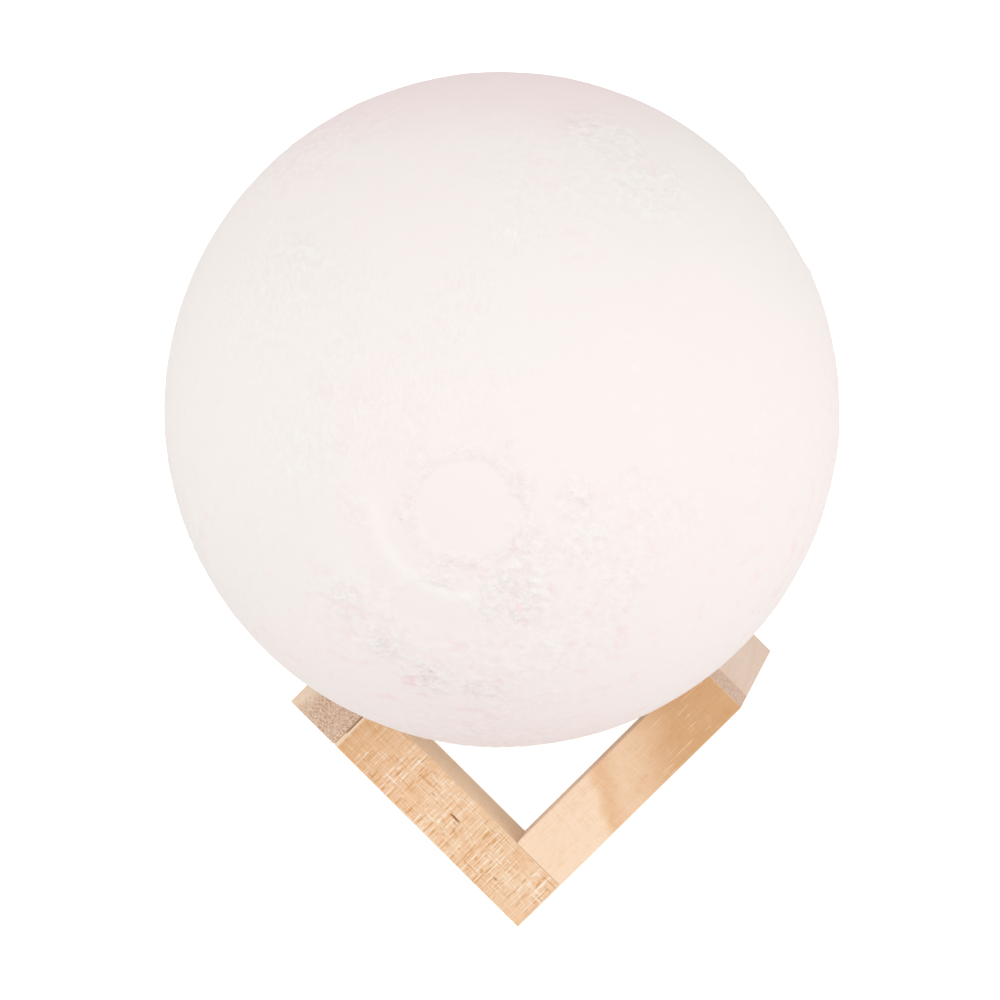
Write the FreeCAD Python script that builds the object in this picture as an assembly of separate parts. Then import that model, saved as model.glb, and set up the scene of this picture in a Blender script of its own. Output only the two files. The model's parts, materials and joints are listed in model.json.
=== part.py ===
import FreeCAD, Part
import math
import os

# Moon lamp: a hollow printed moon with a light module in its underside, resting on
# a crown of six square wooden bars.  Millimetres, +Z up, front is -Y.  The origin is
# on the crown's upright axis, at the surface that the lamp stands on.
#
# The crown follows six edges of a cube that stands on one corner: the zigzag of edges
# that misses the top and the bottom corner.  It has three feet and three peaks, and it
# repeats every third of a turn, so a foot bar and a peak bar make the whole crown.

Vector = FreeCAD.Vector
AXIS = Vector(0, 0, 1)
CENTRE = Vector(0, 0, 0)

# ---------------------------------------------------------------- driving dimensions
# Crown of bars
BAR_SIDE = 13.8
BAR_LENGTH = 59.0
BAR_ROUND = 0.4            # sanded edges
FOOT_FLAT = 1.0            # depth sanded off the corner that each foot stands on
DOWEL_DIAMETER = 6.0
DOWEL_LENGTH = 20.0
DOWEL_SLACK = 0.1          # glue gap round each dowel
DOWEL_END_SLACK = 0.5      # glue gap past each dowel's end

# Moon
MOON_DIAMETER = 150.0
SHELL_WALL = 2.4
SEAT_GAP = 0.3             # between the moon and the dished seat in each peak
SEAT_SINK = 2.3            # how far the dished seats let the moon down between the peaks
LAND_MARGIN = 1.0          # flat that shows round the cap

# Cap that closes the opening, held by snap tabs
CAP_LAP = 2.7              # width of the flange on the land
CAP_HEIGHT = 2.6
CAP_PLATE = 2.0
CAP_EDGE_ROUND = 1.0
NECK_SLACK = 0.3
NECK_WALL = 1.6
NECK_COLLAR = 0.8          # unslotted height of the neck
TAB_COUNT = 3
TAB_FIRST_ANGLE = 90.0
TAB_ANGLE = 30.0
TAB_REACH = 1.3
TAB_HEIGHT = 2.2
TAB_SLACK = 0.1            # between a tab's hook and the shell's floor

# Screws that hold cap, board and cup together
SCREW_COUNT = 3
SCREW_FIRST_ANGLE = 30.0
SCREW_INSET = 3.0          # from the cup's inner wall to a screw
SCREW_DIAMETER = 2.0
SCREW_LENGTH = 16.0
SCREW_HEAD_DIAMETER = 3.8
SCREW_HEAD_HEIGHT = 1.3
SCREW_HEAD_ROUND = 0.4
SCREW_HEAD_SLACK = 0.3
SCREW_HOLE_SLACK = 0.2
THREAD_SLACK = 0.03
DRIVE_SPAN = 2.3
DRIVE_WIDTH = 0.6
DRIVE_DEPTH = 0.7
POST_DIAMETER = 5.2

# Power button and the switch that it presses
BUTTON_DIAMETER = 10.0
BUTTON_PROUD = 0.5
BUTTON_TRAVEL = 0.8
BUTTON_SLACK = 0.2
BUTTON_EDGE_ROUND = 0.4
BUTTON_FLANGE_DIAMETER = 12.4
BUTTON_FLANGE_HEIGHT = 1.0
BUTTON_STEM_DIAMETER = 3.0
SWITCH_SIDE = 6.0
SWITCH_HEIGHT = 3.6
PLUNGER_DIAMETER = 3.4
PLUNGER_LENGTH = 2.2
PLUNGER_PROUD = 1.0        # length that stands out of the switch
PLUNGER_SLACK = 0.15

# Charging socket, round, for a 3.5 mm plug
SOCKET_GAP = 1.0           # between the button's flange and the socket
SOCKET_DIAMETER = 7.2
SOCKET_NOSE_DIAMETER = 5.6
SOCKET_NOSE_SLACK = 0.2
SOCKET_NOSE_RECESS = 0.4
SOCKET_BORE_DIAMETER = 3.6
SOCKET_BORE_DEPTH = 7.7
SOCKET_PIN_DIAMETER = 1.3
SOCKET_PIN_RECESS = 1.0

# Status light: a light pipe under a small lamp
PIPE_CIRCLE = 22.2
PIPE_DIAMETER = 3.0
PIPE_SHOULDER_DIAMETER = 4.2
PIPE_SHOULDER_HEIGHT = 1.0
PIPE_SLACK = 0.1
PIPE_GAP = 0.3             # to the lamp above it
STATUS_LED_SIZE = (1.6, 1.2, 0.8)

# Control board with its chips
BOARD_SLACK = 0.4          # between the board and the cup
BOARD_THICKNESS = 1.2
BOARD_STANDOFF = 7.6
CHIP_SIZE = (5.0, 3.6, 1.4)
CHIP_PLACES = ((9.5, 0.0), (-9.6, 1.2), (6.4, -9.8))

# Cup that holds the cell
CUP_WALL = 1.4
CUP_SLACK = 0.8            # between the cup and the cap's neck
CUP_DECK = 2.0
PILLAR_WEB = 2.4
CELL_DIAMETER = 16.5
CELL_ROOM = 2.35           # for the leads, between the cell and the posts
CELL_LENGTH = 34.5
CELL_CREASE = 0.6
CELL_BUTTON_DIAMETER = 5.6
CELL_BUTTON_HEIGHT = 0.8
LOWER_PAD = 2.0
UPPER_PAD = 3.0
UPPER_PAD_GAP = 1.0        # between the upper pad and the lead beside it

# Lamp board and diffuser
LED_BOARD_INSET = 1.6      # inside the diffuser's wall
LED_BOARD_THICKNESS = 1.6
LED_COUNT = 8
LED_GAP = 0.15             # between the ring of lamps and the leads
LED_SIZE = (3.5, 2.8, 0.8)
LED_SCREW_INSET = 2.4      # from the lamp board's edge
LED_SCREW_LENGTH = 5.0
DIFFUSER_WALL = 1.2
DIFFUSER_SKIRT = 2.0
DIFFUSER_RISE = 15.0
DIFFUSER_REBATE = 1.6
DIFFUSER_SLACK = 0.1

# Leads
LEAD_DIAMETER = 1.1
LEAD_PITCH = 2.6
LEAD_HOLE_DIAMETER = 5.4
LEAD_BEND = 1.7
LED_LEAD_INSET = 1.8       # from the lamp board's edge
CELL_LEAD_GAP = 1.2        # between a cell lead's centre line and the cell
CELL_LEAD_HEIGHT = 4.0     # of the lower lead's joint, above the cell's base

# Relief of the moon: longitude from the front towards +X and latitude, in degrees,
# with the width, the width of the floor and the depth of each sunken plain or crater
PLAINS = (
    (2.5, 27.0, 21.0, 18.0, 0.9),
    (-5.5, 7.5, 17.0, 14.0, 0.8),
    (26.0, 62.0, 15.0, 12.0, 0.7),
    (-30.0, 44.0, 10.0, 7.5, 0.7),
    (64.0, 14.0, 18.0, 14.5, 0.8),
    (118.0, 22.0, 26.0, 22.0, 0.9),
    (165.0, 40.0, 18.0, 14.5, 0.9),
    (-118.0, 12.0, 22.0, 18.0, 0.9),
    (-80.0, 38.0, 13.0, 10.0, 0.8),
)
CRATERS = (
    (13.5, 31.0, 4.6, 2.4, 0.8),
    (22.5, 25.0, 5.8, 3.2, 0.8),
    (34.0, 27.0, 6.0, 3.4, 0.8),
    (8.0, 18.0, 3.8, 1.8, 0.7),
    (15.5, 17.5, 4.0, 2.0, 0.7),
    (10.5, 13.5, 4.4, 2.2, 0.8),
    (7.5, 9.5, 3.2, 1.4, 0.7),
    (13.5, 9.0, 3.8, 1.8, 0.7),
    (-24.5, 6.0, 4.4, 2.2, 0.8),
    (-20.5, -1.5, 5.0, 2.8, 0.8),
    (-14.5, -6.0, 4.4, 2.2, 0.8),
    (-9.5, -12.0, 5.4, 3.0, 0.8),
    (4.0, -2.5, 5.6, 3.2, 0.8),
    (-15.0, 29.0, 4.2, 2.2, 0.7),
    (92.0, -10.0, 7.2, 4.2, 0.9),
    (84.0, 46.0, 5.4, 3.0, 0.8),
    (140.0, -16.0, 8.0, 4.8, 0.9),
    (-148.0, -12.0, 7.4, 4.4, 0.9),
    (-160.0, 34.0, 6.0, 3.4, 0.8),
    (-62.0, -20.0, 6.6, 3.8, 0.8),
    (-96.0, 68.0, 5.2, 2.8, 0.8),
)

# ---------------------------------------------------------------- worked out
CUBE_EDGE = BAR_LENGTH + BAR_SIDE
PEAK_HEIGHT = (CUBE_EDGE + 2 * BAR_SIDE) / math.sqrt(3) - FOOT_FLAT
CROWN_RADIUS = BAR_LENGTH * math.sqrt(2 / 3)          # of the feet and of the peaks

MOON_RADIUS = MOON_DIAMETER / 2
# Seats cut to the moon's own curve take off the tips that it would otherwise stand on.
MOON_HEIGHT = PEAK_HEIGHT + math.sqrt(MOON_RADIUS ** 2 - CROWN_RADIUS ** 2) - SEAT_SINK

# The module sets the opening: cell, posts, cup, neck, opening, cap, land.
SCREW_RADIUS = CELL_DIAMETER / 2 + CELL_ROOM + POST_DIAMETER / 2
CUP_INSIDE = SCREW_RADIUS + SCREW_INSET
CUP_RADIUS = CUP_INSIDE + CUP_WALL
NECK_RADIUS = CUP_RADIUS + CUP_SLACK + NECK_WALL
OPENING_RADIUS = NECK_RADIUS + NECK_SLACK
CAP_RADIUS = OPENING_RADIUS + CAP_LAP
LAND_RADIUS = CAP_RADIUS + LAND_MARGIN
LAND_DROP = math.sqrt(MOON_RADIUS ** 2 - LAND_RADIUS ** 2)
BOARD_RADIUS = CUP_INSIDE - BOARD_SLACK
SOCKET_RADIUS = SOCKET_DIAMETER / 2
LED_BOARD_RADIUS = CUP_RADIUS - DIFFUSER_WALL - LED_BOARD_INSET
LED_LEAD_RADIUS = LED_BOARD_RADIUS - LED_LEAD_INSET
LED_RADIUS = LED_LEAD_RADIUS - 2 * LEAD_BEND - LEAD_DIAMETER / 2 - LED_GAP - LED_SIZE[1] / 2
CELL_LEAD_RADIUS = CELL_DIAMETER / 2 + CELL_LEAD_GAP
UPPER_PAD_RADIUS = CELL_LEAD_RADIUS - 2 * LEAD_BEND - LEAD_DIAMETER / 2 - UPPER_PAD_GAP

# Heights in the module, above the land that the cap seats on
FACE = -CAP_HEIGHT
PLATE_TOP = FACE + CAP_PLATE
BOARD_UNDER = PLATE_TOP + BOARD_STANDOFF
BOARD_TOP = BOARD_UNDER + BOARD_THICKNESS
CELL_BASE = BOARD_TOP + LOWER_PAD
CELL_TOP = CELL_BASE + CELL_LENGTH
DECK_UNDER = CELL_TOP + UPPER_PAD
DECK_TOP = DECK_UNDER + CUP_DECK
LED_BOARD_TOP = DECK_TOP + LED_BOARD_THICKNESS
HOOK_UNDER = SHELL_WALL + TAB_SLACK
NECK_TOP = HOOK_UNDER + TAB_HEIGHT
SWITCH_UNDER = BOARD_UNDER - SWITCH_HEIGHT
PLUNGER_UNDER = SWITCH_UNDER - PLUNGER_PROUD


# ---------------------------------------------------------------- helpers
def at_angle(degrees, radius):
    """A point at an angle from +X, in the horizontal plane."""
    turn = math.radians(degrees)
    return Vector(radius * math.cos(turn), radius * math.sin(turn), 0)


def turned(start, *sides, angle=360.0):
    """Revolve a closed outline of (radius, height) points about Z.

    A side is its end point, or an arc's middle and end points.
    """
    edges = []
    here = Vector(start[0], 0, start[1])
    for side in sides + (start,):
        if isinstance(side[0], tuple):
            middle, end = (Vector(point[0], 0, point[1]) for point in side)
            edges.append(Part.Arc(here, middle, end).toShape())
        else:
            end = Vector(side[0], 0, side[1])
            edges.append(Part.makeLine(here, end))
        here = end
    face = Part.Face(Part.Wire(edges))
    return face.revolve(CENTRE, AXIS, angle)


def rod(diameter, low, high, place=CENTRE):
    """An upright cylinder between two heights."""
    foot = Vector(place.x, place.y, low)
    return Part.makeCylinder(diameter / 2, high - low, foot)


def block(size, low, place=CENTRE, turn=0.0):
    """A box centred on a place, standing on a height and turned about its middle."""
    length, width, height = size
    corner = Vector(place.x - length / 2, place.y - width / 2, low)
    box = Part.makeBox(length, width, height, corner)
    box.rotate(Vector(place.x, place.y, 0), AXIS, turn)
    return box


def around(count, radius, first=0.0):
    """Places evenly round the axis, each with its angle."""
    angles = [first + 360 * i / count for i in range(count)]
    return [(at_angle(angle, radius), angle) for angle in angles]


def screw(head_face, length, place, upwards):
    """A pan-head screw with a cross recess; its head's outer face is at head_face."""
    way = 1 if upwards else -1
    head = rod(SCREW_HEAD_DIAMETER, 0, SCREW_HEAD_HEIGHT)
    rim = [edge for edge in head.Edges if isinstance(edge.Curve, Part.Circle) and edge.BoundBox.ZMax < 0.01]
    head = head.makeFillet(SCREW_HEAD_ROUND, rim)
    body = head.fuse(rod(SCREW_DIAMETER, SCREW_HEAD_HEIGHT, SCREW_HEAD_HEIGHT + length))
    for turn in (0, 90):
        body = body.cut(block((DRIVE_SPAN, DRIVE_WIDTH, 2 * DRIVE_DEPTH), -DRIVE_DEPTH, CENTRE, turn))
    if way < 0:
        body.rotate(CENTRE, Vector(1, 0, 0), 180)
    body.translate(Vector(place.x, place.y, head_face))
    return body


def lead(points):
    """A round lead along straight runs and arcs; an arc is its middle and end points."""
    edges = []
    here = points[0]
    for step in points[1:]:
        if isinstance(step, tuple):
            edges.append(Part.Arc(here, step[0], step[1]).toShape())
            here = step[1]
        else:
            edges.append(Part.makeLine(here, step))
            here = step
    path = Part.Wire(edges)
    first = edges[0]
    along = first.tangentAt(first.FirstParameter)
    ring = Part.Wire(Part.makeCircle(LEAD_DIAMETER / 2, points[0], along))
    return path.makePipeShell([ring], True, False)


# ---------------------------------------------------------------- the crown
# Edge directions of the standing cube at its front foot
LEFT_RISE = Vector(-1 / math.sqrt(2), 1 / math.sqrt(6), 1 / math.sqrt(3))
RIGHT_RISE = Vector(1 / math.sqrt(2), 1 / math.sqrt(6), 1 / math.sqrt(3))
BACK_FALL = Vector(0, 2 / math.sqrt(6), -1 / math.sqrt(3))
FRONT_CORNER = Vector(0, -CUBE_EDGE * math.sqrt(2 / 3), BAR_SIDE / math.sqrt(3) - FOOT_FLAT)

CUBE_FRAME = FreeCAD.Placement(FreeCAD.Matrix(
    LEFT_RISE.x, RIGHT_RISE.x, BACK_FALL.x, FRONT_CORNER.x,
    LEFT_RISE.y, RIGHT_RISE.y, BACK_FALL.y, FRONT_CORNER.y,
    LEFT_RISE.z, RIGHT_RISE.z, BACK_FALL.z, FRONT_CORNER.z))


def on_crown(shape, third):
    """Place a shape from the cube's frame onto one third of the crown."""
    placed = shape.copy()
    placed.Placement = CUBE_FRAME.multiply(placed.Placement)
    placed.rotate(CENTRE, AXIS, 120 * third)
    return placed


def bar(length_x, length_y, corner):
    """A bar with sanded edges, in the cube's frame."""
    box = Part.makeBox(length_x, length_y, BAR_SIDE, corner)
    return box.makeFillet(BAR_ROUND, box.Edges)


def dowel(joint_face, way, slack=0.0, end_slack=0.0):
    """A dowel centred on a joint, or with slack the hole for it."""
    half = DOWEL_LENGTH / 2 + end_slack
    return Part.makeCylinder(DOWEL_DIAMETER / 2 + slack, 2 * half, joint_face - way * half, way)


def crown():
    """The six bars and the six dowels, each third with a foot bar and a peak bar."""
    middle = BAR_SIDE / 2
    foot_bar = bar(BAR_LENGTH, BAR_SIDE, CENTRE)
    peak_bar = bar(BAR_SIDE, BAR_LENGTH, Vector(0, BAR_SIDE, 0))
    # The peak bar's lower end butts on the foot bar; the foot bar's upper end butts
    # on the peak bar of the third beside it.
    foot_joint = (Vector(middle, BAR_SIDE, middle), Vector(0, 1, 0))
    peak_joint = (Vector(BAR_LENGTH, middle, middle), Vector(1, 0, 0))
    holes = []
    for third in range(3):
        for joint in (foot_joint, peak_joint):
            holes.append(on_crown(dowel(*joint, DOWEL_SLACK, DOWEL_END_SLACK), third))
    below_table = Part.makeBox(4 * CUBE_EDGE, 4 * CUBE_EDGE, CUBE_EDGE,
                               Vector(-2 * CUBE_EDGE, -2 * CUBE_EDGE, -CUBE_EDGE))
    moon_bed = Part.makeSphere(MOON_RADIUS + SEAT_GAP, Vector(0, 0, MOON_HEIGHT))
    cuts = holes + [below_table, moon_bed]
    foot_names = ("bar_front_left", "bar_right_side", "bar_back_left")
    peak_names = ("bar_front_right", "bar_back_right", "bar_left_side")
    foot_dowels = ("dowel_front_foot", "dowel_right_foot", "dowel_left_foot")
    peak_dowels = ("dowel_left_peak", "dowel_right_peak", "dowel_back_peak")
    pieces = {}
    for third in range(3):
        pieces[foot_names[third]] = on_crown(foot_bar, third).cut(cuts)
        pieces[peak_names[third]] = on_crown(peak_bar, third).cut(cuts)
        pieces[foot_dowels[third]] = on_crown(dowel(*foot_joint), third)
        pieces[peak_dowels[third]] = on_crown(dowel(*peak_joint), third)
    return pieces


# ---------------------------------------------------------------- the moon
def hollow_on_moon(longitude, latitude, width, floor_width, depth):
    """What a plain or crater takes away: a round hollow with a floor that follows the moon."""
    floor_radius = MOON_RADIUS - depth
    above = MOON_RADIUS + SHELL_WALL
    mouth = math.asin(width / 2 / MOON_RADIUS)
    foot = math.asin(floor_width / 2 / floor_radius)
    # The wall leans outwards at one slope, through the mouth and on past the surface.
    lean = (mouth - foot) / depth
    lip = mouth + lean * (above - MOON_RADIUS)

    def on_sphere(radius, angle):
        return (radius * math.sin(angle), radius * math.cos(angle))

    cutter = turned((0, floor_radius),
                    (on_sphere(floor_radius, foot / 2), on_sphere(floor_radius, foot)),
                    on_sphere(above, lip),
                    (on_sphere(above, lip / 2), on_sphere(above, 0)))
    cutter.rotate(CENTRE, Vector(1, 0, 0), 90 - latitude)
    cutter.rotate(CENTRE, AXIS, longitude)
    return cutter


def moon_shell():
    """The printed moon: a shell with a flat land and an opening in its underside."""
    inner = MOON_RADIUS - SHELL_WALL
    floor = LAND_DROP - SHELL_WALL
    floor_radius = math.sqrt(inner ** 2 - floor ** 2)
    shell = turned((OPENING_RADIUS, -LAND_DROP),
                   (LAND_RADIUS, -LAND_DROP),
                   ((MOON_RADIUS, 0), (0, MOON_RADIUS)),
                   (0, inner),
                   ((inner, 0), (floor_radius, -floor)),
                   (OPENING_RADIUS, -floor))
    return shell.cut([hollow_on_moon(*hollow) for hollow in PLAINS + CRATERS])


# ---------------------------------------------------------------- the cap
SOCKET_PLACE = at_angle(90, BUTTON_FLANGE_DIAMETER / 2 + SOCKET_GAP + SOCKET_RADIUS)
PIPE_PLACE = at_angle(210, PIPE_CIRCLE / 2)
SCREW_PLACES = [place for place, angle in around(SCREW_COUNT, SCREW_RADIUS, SCREW_FIRST_ANGLE)]


def base_cap():
    """The cap: flange, slotted neck with snap hooks, screw posts and holes."""
    radius = CAP_RADIUS
    inside = NECK_RADIUS - NECK_WALL
    corner = CAP_EDGE_ROUND * (1 - math.sqrt(0.5))
    cap = turned((0, FACE),
                 (radius - CAP_EDGE_ROUND, FACE),
                 ((radius - corner, FACE + corner), (radius, FACE + CAP_EDGE_ROUND)),
                 (radius, 0),
                 (NECK_RADIUS, 0),
                 (NECK_RADIUS, NECK_TOP),
                 (inside, NECK_TOP),
                 (inside, PLATE_TOP),
                 (0, PLATE_TOP))
    slot_angle = 360 / TAB_COUNT - TAB_ANGLE
    for tab in range(TAB_COUNT):
        angle = TAB_FIRST_ANGLE + 360 / TAB_COUNT * tab
        slot = turned((inside - NECK_WALL, NECK_COLLAR), (OPENING_RADIUS, NECK_COLLAR),
                      (OPENING_RADIUS, NECK_TOP + NECK_WALL), (inside - NECK_WALL, NECK_TOP + NECK_WALL),
                      angle=slot_angle)
        slot.rotate(CENTRE, AXIS, angle + TAB_ANGLE / 2)
        hook = turned((inside + NECK_WALL / 2, HOOK_UNDER), (NECK_RADIUS + TAB_REACH, HOOK_UNDER),
                      (inside + NECK_WALL / 2, NECK_TOP), angle=TAB_ANGLE)
        hook.rotate(CENTRE, AXIS, angle - TAB_ANGLE / 2)
        cap = cap.cut(slot).fuse(hook)
    for place in SCREW_PLACES:
        cap = cap.fuse(rod(POST_DIAMETER, PLATE_TOP, BOARD_UNDER, place))
    for place in SCREW_PLACES:
        cap = cap.cut(rod(SCREW_DIAMETER + 2 * SCREW_HOLE_SLACK, FACE, BOARD_UNDER, place))
        cap = cap.cut(rod(SCREW_HEAD_DIAMETER + 2 * SCREW_HEAD_SLACK, FACE, FACE + SCREW_HEAD_HEIGHT, place))
    cap = cap.cut(rod(BUTTON_DIAMETER + 2 * BUTTON_SLACK, FACE, PLATE_TOP))
    cap = cap.cut(rod(SOCKET_NOSE_DIAMETER + 2 * SOCKET_NOSE_SLACK, FACE, PLATE_TOP, SOCKET_PLACE))
    return cap.cut(rod(PIPE_DIAMETER + 2 * PIPE_SLACK, FACE, PLATE_TOP, PIPE_PLACE))


def power_button():
    """The button: a rounded face, a flange that stops on the cap and a stem to the switch."""
    radius = BUTTON_DIAMETER / 2
    face = FACE - BUTTON_PROUD
    flange = BUTTON_FLANGE_DIAMETER / 2
    flange_top = PLATE_TOP + BUTTON_FLANGE_HEIGHT
    stem = BUTTON_STEM_DIAMETER / 2
    corner = BUTTON_EDGE_ROUND * (1 - math.sqrt(0.5))
    return turned((0, face),
                  (radius - BUTTON_EDGE_ROUND, face),
                  ((radius - corner, face + corner), (radius, face + BUTTON_EDGE_ROUND)),
                  (radius, PLATE_TOP),
                  (flange, PLATE_TOP),
                  (flange, flange_top),
                  (stem, flange_top),
                  (stem, PLUNGER_UNDER),
                  (0, PLUNGER_UNDER))


def switch_body():
    """The switch, with a blind hole that its plunger sinks into."""
    hole_top = PLUNGER_UNDER + PLUNGER_LENGTH + BUTTON_TRAVEL + PLUNGER_SLACK
    body = block((SWITCH_SIDE, SWITCH_SIDE, SWITCH_HEIGHT), SWITCH_UNDER)
    return body.cut(rod(PLUNGER_DIAMETER + 2 * PLUNGER_SLACK, SWITCH_UNDER, hole_top))


def charge_socket():
    """The round socket: its nose lies in the cap's hole, its shoulder behind the plate."""
    mouth = FACE + SOCKET_NOSE_RECESS
    bore = SOCKET_BORE_DIAMETER / 2
    floor = mouth + SOCKET_BORE_DEPTH
    nose = SOCKET_NOSE_DIAMETER / 2
    socket = turned((bore, mouth), (nose, mouth), (nose, PLATE_TOP), (SOCKET_RADIUS, PLATE_TOP),
                    (SOCKET_RADIUS, BOARD_UNDER), (0, BOARD_UNDER), (0, floor), (bore, floor))
    socket.translate(SOCKET_PLACE)
    return socket


def socket_pin():
    """The pin in the middle of the socket, with a rounded tip."""
    radius = SOCKET_PIN_DIAMETER / 2
    tip = FACE + SOCKET_NOSE_RECESS + SOCKET_PIN_RECESS
    root = FACE + SOCKET_NOSE_RECESS + SOCKET_BORE_DEPTH
    lean = radius * math.sqrt(0.5)
    pin = turned((0, tip), ((lean, tip + radius - lean), (radius, tip + radius)), (radius, root), (0, root))
    pin.translate(SOCKET_PLACE)
    return pin


def light_pipe():
    """The status light's pipe, with a shoulder behind the cap's plate."""
    radius = PIPE_DIAMETER / 2
    shoulder = PIPE_SHOULDER_DIAMETER / 2
    shoulder_top = PLATE_TOP + PIPE_SHOULDER_HEIGHT
    top = BOARD_UNDER - STATUS_LED_SIZE[2] - PIPE_GAP
    pipe = turned((0, FACE), (radius, FACE), (radius, PLATE_TOP), (shoulder, PLATE_TOP),
                  (shoulder, shoulder_top), (radius, shoulder_top), (radius, top), (0, top))
    pipe.translate(PIPE_PLACE)
    return pipe


# ---------------------------------------------------------------- the module
def control_board():
    """The round board, clamped between the cap's posts and the cup's pillars."""
    board = rod(2 * BOARD_RADIUS, BOARD_UNDER, BOARD_TOP)
    for place in SCREW_PLACES:
        board = board.cut(rod(SCREW_DIAMETER + 2 * SCREW_HOLE_SLACK, BOARD_UNDER, BOARD_TOP, place))
    return board


def control_chips():
    """The chips on the board's underside."""
    chips = [block(CHIP_SIZE, BOARD_UNDER - CHIP_SIZE[2], Vector(x, y, 0)) for x, y in CHIP_PLACES]
    return Part.makeCompound(chips)


def status_led():
    """The small lamp over the light pipe."""
    return block(STATUS_LED_SIZE, BOARD_UNDER - STATUS_LED_SIZE[2], PIPE_PLACE)


def module_cup():
    """The cup: wall, deck, three webbed pillars for the screws and a rebated rim."""
    cup = turned((CUP_RADIUS, PLATE_TOP),
                 (CUP_RADIUS, DECK_TOP - DIFFUSER_REBATE),
                 (CUP_RADIUS - DIFFUSER_WALL, DECK_TOP - DIFFUSER_REBATE),
                 (CUP_RADIUS - DIFFUSER_WALL, DECK_TOP),
                 (0, DECK_TOP),
                 (0, DECK_UNDER),
                 (CUP_INSIDE, DECK_UNDER),
                 (CUP_INSIDE, PLATE_TOP))
    pillar_height = DECK_UNDER - BOARD_TOP
    screw_end = FACE + SCREW_HEAD_HEIGHT + SCREW_LENGTH
    for place, angle in around(SCREW_COUNT, SCREW_RADIUS, SCREW_FIRST_ANGLE):
        web_length = SCREW_INSET + CUP_WALL / 2
        web_place = at_angle(angle, SCREW_RADIUS + web_length / 2)
        cup = cup.fuse(rod(POST_DIAMETER, BOARD_TOP, DECK_UNDER, place))
        cup = cup.fuse(block((web_length, PILLAR_WEB, pillar_height), BOARD_TOP, web_place, angle))
    for place in SCREW_PLACES:
        cup = cup.cut(rod(SCREW_DIAMETER + 2 * THREAD_SLACK, BOARD_TOP, screw_end + THREAD_SLACK, place))
    for place in LED_SCREW_PLACES:
        cup = cup.cut(rod(SCREW_DIAMETER + 2 * THREAD_SLACK, DECK_UNDER, DECK_TOP, place))
    return cup.cut(rod(LEAD_HOLE_DIAMETER, DECK_UNDER, DECK_TOP, LEAD_HOLE_PLACE))


def battery_cell():
    """The round cell: a can with a creased neck and a raised positive end."""
    radius = CELL_DIAMETER / 2
    button = CELL_BUTTON_DIAMETER / 2
    shoulder = CELL_TOP - CELL_BUTTON_HEIGHT
    crease = shoulder - 3 * CELL_CREASE
    return turned((0, CELL_BASE), (radius, CELL_BASE), (radius, crease),
                  (radius - CELL_CREASE, crease + CELL_CREASE),
                  (radius, crease + 2 * CELL_CREASE),
                  (radius, shoulder), (button, shoulder), (button, CELL_TOP), (0, CELL_TOP))


def led_board():
    """The round lamp board on the cup's deck."""
    board = rod(2 * LED_BOARD_RADIUS, DECK_TOP, LED_BOARD_TOP)
    for place in LED_SCREW_PLACES:
        board = board.cut(rod(SCREW_DIAMETER + 2 * SCREW_HOLE_SLACK, DECK_TOP, LED_BOARD_TOP, place))
    return board.cut(rod(LEAD_HOLE_DIAMETER, DECK_TOP, LED_BOARD_TOP, LEAD_HOLE_PLACE))


def led_chips():
    """The ring of lamps."""
    half_step = 180 / LED_COUNT
    return Part.makeCompound([block(LED_SIZE, LED_BOARD_TOP, place, angle + 90)
                              for place, angle in around(LED_COUNT, LED_RADIUS, half_step)])


def led_diffuser():
    """The frosted dome over the lamps, with a skirt that fits the cup's rebate."""
    radius = CUP_RADIUS
    inside = radius - DIFFUSER_WALL + DIFFUSER_SLACK
    base = DECK_TOP - DIFFUSER_REBATE
    spring = DECK_TOP + DIFFUSER_SKIRT
    dome = (radius ** 2 + DIFFUSER_RISE ** 2) / (2 * DIFFUSER_RISE)
    centre = spring + DIFFUSER_RISE - dome
    inner_dome = dome - DIFFUSER_WALL
    inner_spring = centre + math.sqrt(max(inner_dome ** 2 - inside ** 2, 0))
    side = (radius / 2, centre + math.sqrt(dome ** 2 - (radius / 2) ** 2))
    inner_side = (inside / 2, centre + math.sqrt(inner_dome ** 2 - (inside / 2) ** 2))
    return turned((inside, base), (radius, base), (radius, spring),
                  (side, (0, centre + dome)), (0, centre + inner_dome),
                  (inner_side, (inside, inner_spring)))


LED_SCREW_PLACES = [Vector(side * (LED_BOARD_RADIUS - LED_SCREW_INSET), 0, 0) for side in (1, -1)]
LEAD_HOLE_PLACE = Vector(0, LED_LEAD_RADIUS, 0)


def led_leads():
    """Two leads from the control board up through the deck, bent over onto the lamp board."""
    leads = []
    for side in (-1, 1):
        x = side * LEAD_PITCH / 2
        top = LED_BOARD_TOP + LEAD_BEND / 2
        leads.append(lead([
            Vector(x, LED_LEAD_RADIUS, BOARD_TOP),
            Vector(x, LED_LEAD_RADIUS, top),
            (Vector(x, LED_LEAD_RADIUS - LEAD_BEND, top + LEAD_BEND), Vector(x, LED_LEAD_RADIUS - 2 * LEAD_BEND, top)),
            Vector(x, LED_LEAD_RADIUS - 2 * LEAD_BEND, LED_BOARD_TOP)]))
    return Part.makeCompound(leads)


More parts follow.
